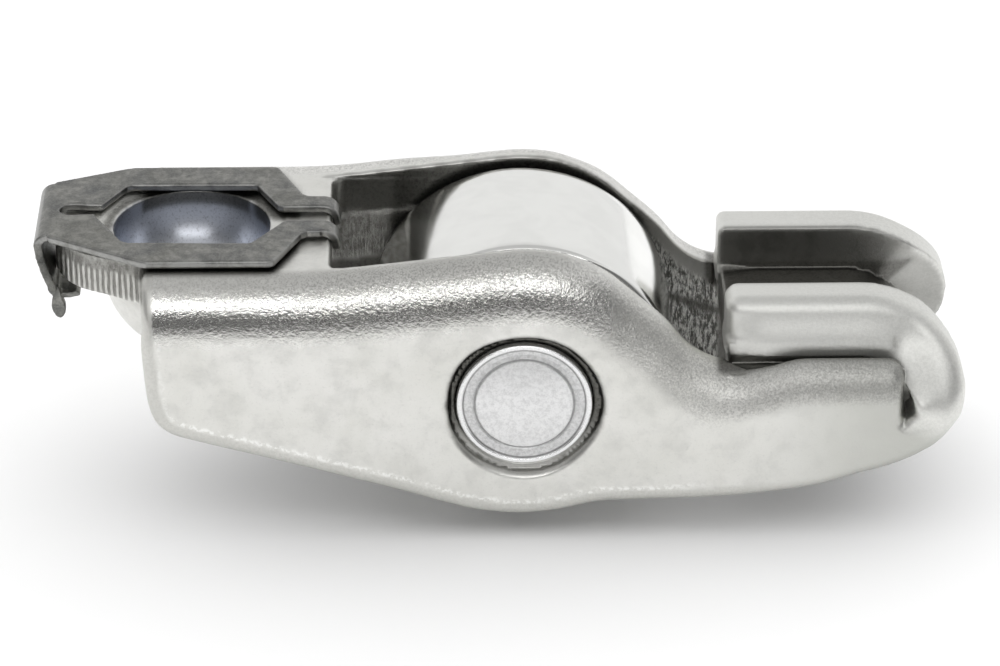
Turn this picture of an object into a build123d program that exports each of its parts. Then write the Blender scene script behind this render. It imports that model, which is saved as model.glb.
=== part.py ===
from build123d import *
import math
import os

# Roller finger follower (rocker arm) of a valve train.
# Lengths in millimetres, +X from the pivot end towards the valve end, +Z out of
# the ball socket, +Y across the arm. The finished solids are moved so that the
# centre of the pivot ball is the origin; the sections below are drawn from the
# roller axis, where X = 0 and Z = 0.

# ---- driving dimensions -------------------------------------------------
PIVOT_X, PIVOT_Z = -19.45, 7.20      # pivot ball centre seen from the roller axis

SHEET = 2.45                          # sheet thickness of the stamped arm
HALF_W = 8.20                         # half the outer width of the channel
HALF_IN = HALF_W - SHEET              # half the inner width of the channel
BEND_R = 2.45                         # outer radius of the long bends
WEB_Z = 8.00                          # top of the web at the pivot end
PAD_Z = 2.90                          # top of the web at the valve end (valve pad)
TONGUE_X = -27.00                     # free end of the web
WALL_X = -22.10                       # pivot end of the side walls
WINDOW_X0, WINDOW_X1 = -10.80, 11.30  # roller window in the web
WINDOW_R = 0.80                       # its corner radius

SOCKET_R = 4.55                       # ball socket
DOME_R, DOME_Z = 5.20, 5.65           # outside of the socket dome

STEM_GAP = 6.60                       # slot between the two guide lugs
LUG_T = 2.45                          # thickness of a guide lug
LUG_X0 = 11.70                        # pivot end of the lugs
LUG_Z = 5.50                          # top of the lugs
NOSE_X, NOSE_Z = 19.50, -0.70         # centre of the rolled nose
NOSE_R_OUT, NOSE_R_TOP, NOSE_R_BOT = 6.20, 3.60, 1.15

AXLE_R = 4.00
AXLE_END = 7.95                       # axle end faces, a little inside the walls
STAKE_R, STAKE_DEPTH = 4.62, 0.55     # staked recess round the axle ends

ROLLER_R = 9.00
ROLLER_HALF = 5.15
NEEDLE_R = 0.95
NEEDLE_HALF = 4.90
NEEDLES = 16
PLAY = 0.02                           # radial play of a needle on each side
PITCH_R = AXLE_R + PLAY + NEEDLE_R
BORE_R = PITCH_R + NEEDLE_R + PLAY

CLIP_T = 0.50
CLIP_Z0 = 8.12                        # underside of the flat part of the clip
CLIP_HALF = 6.05



def slab(pts, half, y0=None, y1=None):
    """Closed polygon given as (x, z), extruded along Y."""
    y0 = -half if y0 is None else y0
    y1 = half if y1 is None else y1
    wire = Wire.make_polygon([Vector(x, y0, z) for x, z in pts], close=True)
    return Solid.extrude(Face(wire), Vector(0, y1 - y0, 0))


def cyl_y(r, y0, y1, x=0.0, z=0.0):
    return Solid.make_cylinder(r, y1 - y0, Plane(origin=(x, y0, z), z_dir=(0, 1, 0)))


def box(x0, x1, y0, y1, z0, z1):
    return Solid.make_box(x1 - x0, y1 - y0, z1 - z0, Plane(origin=(x0, y0, z0)))


def home(shape):
    return Pos(-PIVOT_X, 0, -PIVOT_Z) * shape


# ---- stamped arm ----------------------------------------------------------
# Outline of the channel seen from the side: the crest follows the roller, dips
# beside the window's valve end and rises to the two shoulders.
y0 = -HALF_W
crest = Edge.make_spline(
    [Vector(-12.2, y0, WEB_Z), Vector(-9.6, y0, 8.22), Vector(-7.0, y0, 8.52), Vector(-3.6, y0, 8.92),
     Vector(0.0, y0, 9.28), Vector(2.4, y0, 8.98), Vector(4.6, y0, 7.95),
     Vector(6.7, y0, 6.15), Vector(8.3, y0, 4.65), Vector(9.7, y0, 3.20),
     Vector(11.3, y0, 2.32), Vector(12.9, y0, 2.10), Vector(14.4, y0, 2.55), Vector(16.2, y0, PAD_Z)],
    tangents=[Vector(1, 0, 0), Vector(1, 0, 0)])


def line(a, b):
    return Edge.make_line(Vector(a[0], y0, a[1]), Vector(b[0], y0, b[1]))


belly = [(WALL_X, WEB_Z), (-21.95, 4.6), (-21.45, 0.6), (-21.0, -0.6), (-20.0, -1.5),
         (-6.3, -5.75), (-4.6, -6.35), (-2.6, -6.95), (-0.4, -7.15), (1.8, -6.9), (4.4, -6.1),
         (6.8, -5.95), (11.6, -5.85), (16.3, -5.3), (20.0, -4.5), (22.2, -3.85),
         (22.2, PAD_Z)]
edges = [line((WALL_X, WEB_Z), (-12.2, WEB_Z)), crest, line((16.2, PAD_Z), (22.2, PAD_Z))]
edges += [line(belly[i], belly[i + 1]) for i in range(len(belly) - 1)]
side = Face(Wire(edges))
arm = Solid.extrude(side, Vector(0, 2 * HALF_W, 0))
top_edges = [e for e in arm.edges()
             if abs(abs(e.center().Y) - HALF_W) < 1e-3
             and e.center().Z > 2.0 and e.bounding_box().size.X > 4.0]
arm = arm.fillet(BEND_R, top_edges)

# hollow underneath, leaving the sheet's thickness
arm = arm - box(-40, WINDOW_X0 + 0.4, -HALF_IN, HALF_IN, -20, WEB_Z - SHEET)
arm = arm - box(WINDOW_X1 - 0.4, 40, -HALF_IN, HALF_IN, -20, PAD_Z - SHEET)

# tongue of the web past the walls, tapering to a round end
ty = HALF_IN - 0.15
tongue_outline = Wire([
    Edge.make_line(Vector(WALL_X + 3, -ty, WEB_Z - SHEET), Vector(WALL_X + 3, ty, WEB_Z - SHEET)),
    Edge.make_line(Vector(WALL_X + 3, ty, WEB_Z - SHEET), Vector(WALL_X, ty - 0.55, WEB_Z - SHEET)),
    Edge.make_spline([Vector(WALL_X, ty - 0.55, WEB_Z - SHEET), Vector(-25.3, 3.75, WEB_Z - SHEET),
                      Vector(TONGUE_X, 0, WEB_Z - SHEET), Vector(-25.3, -3.75, WEB_Z - SHEET),
                      Vector(WALL_X, -ty + 0.55, WEB_Z - SHEET)]),
    Edge.make_line(Vector(WALL_X, -ty + 0.55, WEB_Z - SHEET), Vector(WALL_X + 3, -ty, WEB_Z - SHEET)),
])
arm = arm + Solid.extrude(Face(tongue_outline), Vector(0, 0, SHEET))

# socket dome under the web
dome = Solid.make_sphere(DOME_R, Plane(origin=(PIVOT_X, 0, DOME_Z)), -90, 90, 360)
dome = dome & box(-40, 0, -HALF_IN, HALF_IN, -20, WEB_Z - 0.5 * SHEET)
arm = arm + dome

# roller window
window = box(WINDOW_X0, WINDOW_X1, -HALF_IN, HALF_IN, -20, 20)
window = window.fillet(WINDOW_R, [e for e in window.edges() if e.bounding_box().size.Z > 30])
arm = arm - window

# guide lugs and the rolled nose: a gutter that runs on over the valve end and
# turns down; its flanges are the two lugs
inner, outer = STEM_GAP / 2, STEM_GAP / 2 + LUG_T


def nose(r, deg):
    a = math.radians(deg)
    return (NOSE_X + r * math.cos(a), NOSE_Z + r * math.sin(a))


def band(r_out, r_in, x_left, deg_end, half):
    """Straight run from x_left that turns round the nose to deg_end."""
    pts = [(x_left, NOSE_Z + r_out)]
    n = 22
    pts += [nose(r_out, 90 - (90 - deg_end) * i / n) for i in range(n + 1)]
    pts += [nose(r_in, deg_end + (90 - deg_end) * i / n) for i in range(n + 1)]
    pts += [(x_left, NOSE_Z + r_in)]
    return slab(pts, half)


gutter = band(NOSE_R_OUT, NOSE_R_BOT + 0.3, LUG_X0, -30, outer)
gutter = gutter - band(NOSE_R_OUT + 3, NOSE_R_TOP, LUG_X0 - 1, -60, inner)
gutter = gutter.fillet(0.5, [e for e in gutter.edges()
                             if abs(e.center().X - LUG_X0) < 1e-3 and abs(e.center().Z - LUG_Z) < 1e-3])
arm = arm + gutter

# lower corners of the walls sweep out into the nose
toe = [(20.0, -4.50), (22.5, -3.75), (23.9, -2.85), (24.9, -1.5), (25.25, -0.6),
       (23.3, -0.9), (23.2, -2.0), (22.75, -2.2), (22.2, -1.7), (20.0, -1.7)]
toe_block = slab(toe, HALF_W) - box(0, 40, -inner, inner, -20, 20)
arm = arm + toe_block
arm = arm - box(19.5, 22.3, -HALF_IN, HALF_IN, -20, NOSE_Z + NOSE_R_BOT)

# axle holes with the staked recess round each end
arm = arm - cyl_y(AXLE_R, -HALF_W - 1, HALF_W + 1)
arm = arm - cyl_y(STAKE_R, -HALF_W - 1, -HALF_W + STAKE_DEPTH)
arm = arm - cyl_y(STAKE_R, HALF_W - STAKE_DEPTH, HALF_W + 1)

# socket: ball seat, short cylinder and a broken rim
arm = arm - Solid.make_sphere(SOCKET_R, Plane(origin=(PIVOT_X, 0, PIVOT_Z)), -90, 90, 360)
arm = arm - Solid.make_cylinder(SOCKET_R, 5, Plane(origin=(PIVOT_X, 0, PIVOT_Z)))
arm = arm - Solid.make_cone(SOCKET_R, SOCKET_R + 0.45, 0.45, Plane(origin=(PIVOT_X, 0, WEB_Z - 0.45)))

# ---- axle -----------------------------------------------------------------
axle = cyl_y(AXLE_R, -AXLE_END, AXLE_END)
axle = axle.chamfer(0.22, None, [e for e in axle.edges() if abs(abs(e.center().Y) - AXLE_END) < 1e-3])
for s in (-1, 1):
    a, b = sorted((s * AXLE_END, s * (AXLE_END - 0.10)))
    axle = axle - (cyl_y(3.42, a - 0.001, b + 0.001) - cyl_y(2.90, a - 0.001, b + 0.001))

# ---- roller ring ------------------------------------------------------------
roller = cyl_y(ROLLER_R, -ROLLER_HALF, ROLLER_HALF)
roller = roller.fillet(0.35, [e for e in roller.edges() if abs(abs(e.center().Y) - ROLLER_HALF) < 1e-3])
roller = roller - cyl_y(BORE_R, -ROLLER_HALF - 1, ROLLER_HALF + 1)

# ---- needles ----------------------------------------------------------------
needles = []
for i in range(NEEDLES):
    a = 2 * math.pi * i / NEEDLES
    n = cyl_y(NEEDLE_R, -NEEDLE_HALF, NEEDLE_HALF, PITCH_R * math.cos(a), PITCH_R * math.sin(a))
    n = n.fillet(0.2, [e for e in n.edges() if abs(abs(e.center().Y) - NEEDLE_HALF) < 1e-3])
    needles.append(n)

# ---- retaining clip -----------------------------------------------------------
# Flat spring plate round the socket; two prongs hook over the window's edge and
# a flap hooks round the end of the tongue.
z0, z1 = CLIP_Z0, CLIP_Z0 + CLIP_T


def plate(pts, za, zb):
    wire = Wire.make_polygon([Vector(x, y, za) for x, y in pts], close=True)
    return Solid.extrude(Face(wire), Vector(0, 0, zb - za))


outline = [(-27.75, 3.25), (-21.95, CLIP_HALF), (-14.5, CLIP_HALF), (-12.75, 2.2), (-11.0, 2.2),
           (-11.0, -2.2), (-12.75, -2.2), (-14.5, -CLIP_HALF), (-21.95, -CLIP_HALF), (-27.75, -3.25)]
eye = [(-24.85, 0.9), (-23.2, 3.6), (-15.8, 3.6), (-14.0, 0.86), (-10.0, 0.86),
       (-10.0, -0.86), (-14.0, -0.86), (-15.8, -3.6), (-23.2, -3.6), (-24.85, -0.9)]
clip = plate(outline, z0, z1) - plate(eye, z0 - 1, z1 + 1)
clip = clip - box(-26.6, -24.0, -0.5, 0.5, z0 - 1, z1 + 1)
clip = clip - Solid.make_cylinder(0.5, 3, Plane(origin=(-26.6, 0, z0 - 1)))


def strip(path, ya, yb, t=CLIP_T):
    """Sheet strip that follows a polyline of (x, z) on its outer face."""
    left, right = [], []
    for i, p in enumerate(path):
        q = path[min(i + 1, len(path) - 1)]
        o = path[max(i - 1, 0)]
        dx, dz = q[0] - o[0], q[1] - o[1]
        d = math.hypot(dx, dz)
        nx, nz = dz / d, -dx / d
        left.append(p)
        right.append((p[0] + nx * t, p[1] + nz * t))
    return slab(left + right[::-1], 0, ya, yb)


def arc(cx, cz, r, a0, a1, n=8):
    return [(cx + r * math.cos(math.radians(a0 + (a1 - a0) * i / n)),
             cz + r * math.sin(math.radians(a0 + (a1 - a0) * i / n))) for i in range(n + 1)]


prong_path = [(-11.4, z1)] + arc(-11.0, z1 - 0.75, 0.75, 90, 0) + [(-10.25, 6.75)]
prong = strip(prong_path, 0.86, 2.2)
clip = clip + prong
clip = clip + strip(prong_path, -2.2, -0.86)
flap_path = [(-27.2, z1)] + arc(-27.45, z1 - 0.75, 0.75, 90, 180) + [(-28.12, 6.6), (-27.75, 5.35)] \
    + arc(-27.05, 5.25, 0.72, 190, 262, 6) + [(-25.9, 4.30)]
flap_out = [(p[0], p[1]) for p in flap_path]


def strip_in(path, ya, yb, t=CLIP_T):
    left, right = [], []
    for i, p in enumerate(path):
        q = path[min(i + 1, len(path) - 1)]
        o = path[max(i - 1, 0)]
        dx, dz = q[0] - o[0], q[1] - o[1]
        d = math.hypot(dx, dz)
        nx, nz = -dz / d, dx / d
        left.append(p)
        right.append((p[0] + nx * t, p[1] + nz * t))
    return slab(left + right[::-1], 0, ya, yb)


clip = clip + strip_in(flap_path, -3.2, 3.2)
# small tapered nib left hanging from the flap's near corner
nib = [(-27.55, 5.2), (-27.62, 3.6), (-27.35, 2.75), (-27.05, 2.7), (-26.75, 3.3), (-26.8, 4.4), (-27.0, 5.0)]
clip = clip + slab(nib, 0, -2.9, -2.35)

# ---- write the pieces --------------------------------------------------------
os.makedirs("parts", exist_ok=True)
pieces = {"rocker_body": arm, "retaining_clip": clip, "roller_axle": axle, "cam_roller": roller}
for i, n in enumerate(needles):
    pieces[f"needle_roller_{i + 1:02d}"] = n
for name, shape in pieces.items():
    placed = home(shape)
    print(name, "volume", round(placed.volume, 3), "solids", len(placed.solids()), "valid", placed.is_valid)
    export_step(placed, f"parts/{name}.step")
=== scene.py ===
import bpy, math
import numpy as np
from mathutils import Vector, Matrix


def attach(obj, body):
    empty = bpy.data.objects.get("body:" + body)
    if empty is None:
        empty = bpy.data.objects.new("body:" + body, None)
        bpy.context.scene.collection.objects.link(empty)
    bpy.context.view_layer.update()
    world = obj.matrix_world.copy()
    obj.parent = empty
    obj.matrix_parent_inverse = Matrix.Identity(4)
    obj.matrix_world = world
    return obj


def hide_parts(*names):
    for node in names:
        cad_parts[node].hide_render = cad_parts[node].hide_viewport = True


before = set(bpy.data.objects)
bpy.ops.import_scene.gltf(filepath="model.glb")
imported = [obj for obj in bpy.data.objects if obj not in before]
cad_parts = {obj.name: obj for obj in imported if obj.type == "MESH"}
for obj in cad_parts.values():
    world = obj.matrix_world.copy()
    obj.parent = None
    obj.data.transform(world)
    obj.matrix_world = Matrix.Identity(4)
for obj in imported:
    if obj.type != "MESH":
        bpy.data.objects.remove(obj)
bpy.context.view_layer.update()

# Lengths below are in millimetres, seen from the roller axis (X along the arm
# towards the valve end, Z out of the socket); home() moves them to the row
# frame, whose origin is the pivot ball's centre, in metres.
PIVOT = np.array([-19.45, 0.0, 7.20])


def home(v):
    return (np.asarray(v, float) - PIVOT) * 0.001


# ------------------------------------------------------------------ helpers
def r_and(a, b, r):
    """Intersection whose edge is rounded with radius r."""
    u = np.maximum(r + a, 0.0)
    v = np.maximum(r + b, 0.0)
    return np.minimum(-r, np.maximum(a, b)) + np.hypot(u, v)


def r_or(a, b, r):
    """Union with a fillet of radius r."""
    u = np.maximum(r - a, 0.0)
    v = np.maximum(r - b, 0.0)
    return np.maximum(r, np.minimum(a, b)) - np.hypot(u, v)


def step(a, b, x):
    t = np.clip((x - a) / (b - a), 0.0, 1.0)
    return t * t * (3.0 - 2.0 * t)


def poly(P, x, y):
    """Signed distance to a closed polygon, negative inside."""
    x, y = np.broadcast_arrays(x, y)
    d = np.full(x.shape, 1e9)
    s = np.ones(x.shape)
    P = np.asarray(P, float)
    P = P[np.hypot(*(P - np.roll(P, 1, 0)).T) > 1e-6]
    for i in range(len(P)):
        a, b = P[i], P[i - 1]
        ex, ey = b[0] - a[0], b[1] - a[1]
        wx, wy = x - a[0], y - a[1]
        t = np.clip((wx * ex + wy * ey) / (ex * ex + ey * ey), 0.0, 1.0)
        d = np.minimum(d, (wx - ex * t) ** 2 + (wy - ey * t) ** 2)
        c1, c2, c3 = y >= a[1], y < b[1], ex * wy > ey * wx
        s = np.where((c1 & c2 & c3) | (~c1 & ~c2 & ~c3), -s, s)
    return s * np.sqrt(d)


def dist_line(P, x, y):
    """Distance to an open polyline."""
    x, y = np.broadcast_arrays(x, y)
    d = np.full(x.shape, 1e9)
    P = np.asarray(P, float)
    for i in range(len(P) - 1):
        a, b = P[i], P[i + 1]
        ex, ey = b[0] - a[0], b[1] - a[1]
        wx, wy = x - a[0], y - a[1]
        t = np.clip((wx * ex + wy * ey) / (ex * ex + ey * ey), 0.0, 1.0)
        d = np.minimum(d, (wx - ex * t) ** 2 + (wy - ey * t) ** 2)
    return np.sqrt(d)


def smooth_line(P, n=8):
    """Catmull-Rom curve through the points."""
    P = np.asarray(P, float)
    Q = np.vstack([2 * P[0] - P[1], P, 2 * P[-1] - P[-2]])
    out = []
    for i in range(1, len(Q) - 2):
        p0, p1, p2, p3 = Q[i - 1], Q[i], Q[i + 1], Q[i + 2]
        for k in range(n):
            t = k / n
            out.append(0.5 * (2 * p1 + (p2 - p0) * t + (2 * p0 - 5 * p1 + 4 * p2 - p3) * t ** 2
                              + (3 * p1 - p0 - 3 * p2 + p3) * t ** 3))
    out.append(P[-1])
    return np.array(out)


def arc(cx, cy, r, a0, a1, n=10):
    a = np.radians(np.linspace(a0, a1, n + 1))
    return [(cx + r * math.cos(t), cy + r * math.sin(t)) for t in a]


# ------------------------------------------------------------------ the arm
HW, YI = 8.20, 5.75                  # outer and inner half width of the channel
WEB, PAD = 8.00, 2.90                # web top at the pivot end, floor between the lugs
SH = 2.45                            # sheet
NX, NZ = 19.50, -0.70                # centre of the rolled nose

CREST = smooth_line([(-16.0, 8.0), (-13.2, 8.0), (-11.2, 8.08), (-9.6, 8.22), (-7.0, 8.52), (-3.6, 8.92),
                     (-1.4, 9.18), (0.3, 9.28), (2.4, 8.98), (4.6, 7.95), (6.7, 6.15), (8.3, 4.65),
                     (9.6, 3.10), (10.9, 2.22), (12.4, 1.88), (14.0, 2.30), (15.9, 2.84), (18.5, 2.90)], 6)
CREST_POLY = np.vstack([[(-45.0, -30.0), (-45.0, 8.0)], CREST, [(45.0, 2.90), (45.0, -30.0)]])

BELLY = np.vstack([
    [(-22.15, 20.0), (-22.15, 7.6)],
    smooth_line([(-22.15, 7.6), (-22.12, 5.4), (-22.05, 3.6), (-21.9, 1.2), (-21.7, -0.1), (-21.25, -1.1),
                 (-20.4, -1.75), (-19.3, -2.12)], 3),
    [(-18.5, -2.35), (-8.2, -5.35)],
    smooth_line([(-6.3, -5.95), (-4.8, -6.45), (-2.8, -7.0), (-0.4, -7.25), (1.9, -7.05),
                 (4.4, -6.50), (6.8, -6.38), (11.6, -6.22), (16.3, -5.68), (20.2, -4.82),
                 (22.4, -4.05), (23.6, -3.30), (24.5, -2.40), (24.75, -1.75)], 4),
    [(24.5, -1.30), (23.6, -1.15), (22.9, -1.30), (22.5, -1.42), (22.28, -1.25), (22.20, -0.9), (22.16, 1.6),
     (22.1, 2.2), (21.8, 2.75), (21.4, 20.0)],
])


def nose(x, z):
    dx = np.maximum(x - NX, 0.0)
    dz = z - NZ
    r = np.where(x < NX, dz, np.hypot(dx, dz))
    th = np.degrees(np.arctan2(dx, dz + 0 * dx))
    return r, th


def nose_end(x, z, deg):
    a = math.radians(deg)
    return np.maximum(x - NX, 0.0) * math.cos(a) - (z - NZ) * math.sin(a)


TONGUE = np.vstack([
    [(-18.0, 0.0), (-18.0, 5.6), (-21.6, 5.35), (-22.12, 5.05)],
    smooth_line([(-22.12, 5.05), (-23.4, 4.62), (-24.7, 4.15), (-25.9, 3.45), (-26.9, 2.3), (-27.42, 1.0),
                 (-27.5, 0.0)], 4)])
TONGUE = np.vstack([TONGUE, TONGUE[::-1] * [1, -1]])


def lug_sdf(x, y, z, far, r, th):
    flare = 2.45 * step(30.0, 96.0, th)
    skirt = 0.60 * step(5.9, 3.5, r) * (1 - step(75, 108, th)) * step(11.2, 14.5, x)
    w_out = 5.72 + flare + skirt + 0.14 * far * step(96.0, 60.0, th)
    w_in = 3.30 + flare
    r_out = np.interp(th, [0, 25, 50, 65, 80, 95, 110, 124, 136, 180], [6.25, 6.3, 6.42, 6.50, 6.46, 6.18, 5.50, 4.85, 4.4, 4.1])
    r_out = r_out + 0.10 * far
    r_low = np.interp(th, [0, 40, 53, 76, 92, 100, 117, 140], [2.80, 2.85, 3.05, 3.26, 3.30, 2.95, 2.5, 2.2])
    r0 = (0.85 + 0.45 * step(45.0, 80.0, th) - 0.5 * step(96.0, 122.0, th)) * (1 - 0.45 * far)
    a, b, c = r - r_out, 11.82 - x, y - w_out
    n = np.sqrt(np.maximum(a + r0, 0) ** 2 + np.maximum(b + r0, 0) ** 2 + np.maximum(c + r0, 0) ** 2)
    lug = np.minimum(-r0, np.maximum(np.maximum(a, b), c)) + n
    lug = np.maximum(lug, nose_end(x, z, 134.0))
    lug = r_and(lug, r_low - r, 0.14 + 0.5 * step(60.0, 90.0, th) - 0.3 * step(98.0, 112.0, th))
    return r_and(lug, w_in - y, 0.16)


def body_sdf(x, y, z):
    far = (y > 0).astype(float)
    y = np.abs(y)
    top = poly(CREST_POLY, x, z)
    low = 0.14 * step(5.4, 3.6, z) * step(-15.0, -18.0, x)
    rest = poly(BELLY, x + low, z + 0.24 * step(20.0, 17.0, x))
    # the bend is taller than it is deep, and tighter on the far side
    ra = 2.4 - far * (1.2 - 0.5 * step(-8.0, -3.0, x) * step(6.0, 3.0, x))
    k = np.where(far > 0, 0.90, 0.60 + 0.32 * step(8.0, 14.0, x))
    u, v = np.maximum(ra + y - HW, 0.0), np.maximum(ra + top * k, 0.0)
    n = np.hypot(u, v)
    raw = np.minimum(-ra, np.maximum(y - HW, top * k)) + n
    raw = raw / np.maximum(np.hypot(u, k * v) / np.maximum(n, 1e-6), 0.55)
    outer = r_and(raw, rest, 0.5 + 0.3 * step(6.5, 4.5, z))
    r_in = 0.18 + 0.45 * step(12.0, 15.0, x)
    walls = r_and(outer, YI + 0.95 * step(11.2, 13.2, x) * step(-3.2, -1.0, top) - y, r_in)
    # web with its tongue and the socket dome
    rho = np.hypot(x + 19.45, y)
    dish = 0.38 * step(5.9, 4.6, rho)
    slab = np.maximum(z + dish - WEB, WEB - SH - z)
    under = z - (WEB - SH)
    cav = -r_and(y - YI, under, 1.25)
    chan = np.maximum(r_and(np.maximum(outer, x + 5.0), cav, 0.15), z + dish - WEB)
    tongue = r_and(poly(TONGUE, x, y), slab, 0.12)
    chan = np.minimum(chan, tongue)
    dome = np.sqrt((x + 19.45) ** 2 + y ** 2 + (z - 5.40) ** 2) - 5.35
    dome = np.maximum(dome, z - 7.2)
    chan = np.where(x < -12.0, r_or(chan, dome, 1.3), np.minimum(chan, dome))
    body = np.where(x < -3.0, np.minimum(chan, walls), walls)
    # roller window
    shear = YI + 0.11 * step(-2.95, -2.45, top)
    win = r_and(np.abs(x - 0.36) - 11.61, y - shear, np.where(x < 0, 0.8, 0.3))
    body = np.where(x < 11.2, r_and(body, -win, 0.22), np.maximum(body, -win))
    # floor between the lugs, and its bond to the walls
    r, th = nose(x, z)
    fr = 3.60
    floor = np.maximum(np.abs(r - (fr + 1.15) / 2) - (fr - 1.15) / 2, nose_end(x, z, 101.0))
    floor = r_and(floor, 11.97 - x, 0.25)
    floor = np.maximum(floor, y - 5.82)
    bond = np.maximum(np.maximum(np.abs(z - 0.75) - 0.75, y - 7.2), np.maximum(12.0 - x, x - 21.2))
    body = np.minimum(body, bond)
    body = np.where(x > 6.0, r_or(body, floor, 0.10), body)
    # guide lugs, turned down round the nose and flared out to the walls
    lug = lug_sdf(x, y, z, far, r, th)
    k = 0.50 - 0.44 * step(12.0, 14.6, x)
    body = np.where(x > 6.0, r_or(body, lug, k), body)
    # axle holes and their staked recess
    rr = np.hypot(x, z)
    phi = np.arctan2(z, x)
    rec = 4.62 + 0.05 * np.sin(3 * phi + 0.6) + 0.035 * np.sin(5 * phi + 2.0)
    body = r_and(body, 4.0 - rr, 0.05)
    body = r_and(body, -np.maximum(0.9 * (rr - rec + 0.40 * np.clip(HW - y, 0.0, 0.6)), HW - 0.55 - y), 0.26)
    # ball socket
    q = np.sqrt((x + 19.45) ** 2 + y ** 2 + (z - 7.20) ** 2)
    ball = np.where(z > 7.20, rho, q) - 4.58
    body = np.where(x < -10.0, r_and(body, -ball, 0.14), body)
    return body


# ------------------------------------------------------------------ the clip
CZ0, CT = 8.12, 0.50
CM = CZ0 + CT / 2
CLIP_OUT = [(-28.4, -2.2), (-28.2, -2.45), (-22.3, -5.86), (-21.8, -6.05), (-14.75, -6.05), (-14.45, -5.93),
            (-12.95, -2.55), (-12.6, -2.3), (-11.8, -2.3), (-11.8, 2.2), (-12.6, 2.25), (-12.95, 2.5), (-14.45, 5.97),
            (-14.75, 6.08), (-23.0, 6.08), (-23.5, 5.99), (-28.1, 4.1), (-28.4, 3.8)]
CLIP_EYE = [(-25.2, 0.35), (-25.1, -0.1), (-23.4, -3.3), (-23.05, -3.52), (-16.1, -3.72), (-15.8, -3.6),
            (-14.1, -1.1), (-13.8, -0.88), (-9.0, -0.86), (-9.0, 0.86), (-14.1, 0.86), (-14.4, 1.05),
            (-15.65, 3.6), (-15.9, 3.72), (-23.1, 3.8), (-23.45, 3.65), (-25.0, 0.85)]
PRONG = np.array([(-12.8, CM)] + arc(-11.75, CM - 0.80, 0.80, 90, 10, 10) + [(-10.92, 7.5)])
FLAP = np.array([(-26.9, CM)] + arc(-27.72, CM - 0.64, 0.64, 90, 172, 8) + [(-28.25, 7.0), (-27.88, 5.9), (-27.62, 5.3)]
                + arc(-27.05, 5.1, 0.58, 172, 258, 8) + [(-26.7, 4.50), (-26.25, 4.65)])


def clip_sdf(x, y, z):
    plan = poly(CLIP_OUT, x, y)
    eye = poly(CLIP_EYE, x, y)
    slot = np.hypot(np.minimum(x + 26.55, 0.0), y - 0.70) - 0.68 + 0.10 * step(-26.4, -25.4, x)
    slot = np.maximum(slot, x + 24.0)
    plan = np.maximum(plan, -np.minimum(eye, slot))
    zz = np.abs(z - CM) - CT / 2
    plate = r_and(np.maximum(plan, -x - 27.75), zz, 0.13)
    ya = np.abs(y)
    pr = dist_line(PRONG, x, z) - CT / 2
    prong = r_and(np.maximum(pr, -12.6 - x), np.abs(ya - 1.55) - 0.69, 0.15)
    half = np.interp(z, [4.3, 5.0, 6.2, 8.2], [2.3, 2.75, 3.0, 3.30])
    fl = np.maximum(dist_line(FLAP, x, z) - CT / 2, np.where(z > 7.6, x + 27.5, x + 25.8))
    flap = r_and(fl, np.abs(y - 0.75 * step(5.0, 8.0, z)) - half, 0.07)
    d = np.minimum(np.minimum(plate, prong), flap)
    # small tapered nib that hangs from the flap's near corner
    nib = poly(smooth_line([(-27.75, 5.3), (-27.60, 4.7), (-27.68, 4.2), (-27.72, 3.7), (-27.52, 3.15), (-27.22, 2.98),
                            (-26.95, 3.3), (-26.9, 3.9), (-27.05, 4.4), (-27.2, 5.2)], 4), x, z)
    nib = r_and(nib, np.abs(y + 2.30 + 0.12 * (z - 4)) - 0.25, 0.1)
    return np.minimum(d, nib)


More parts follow.
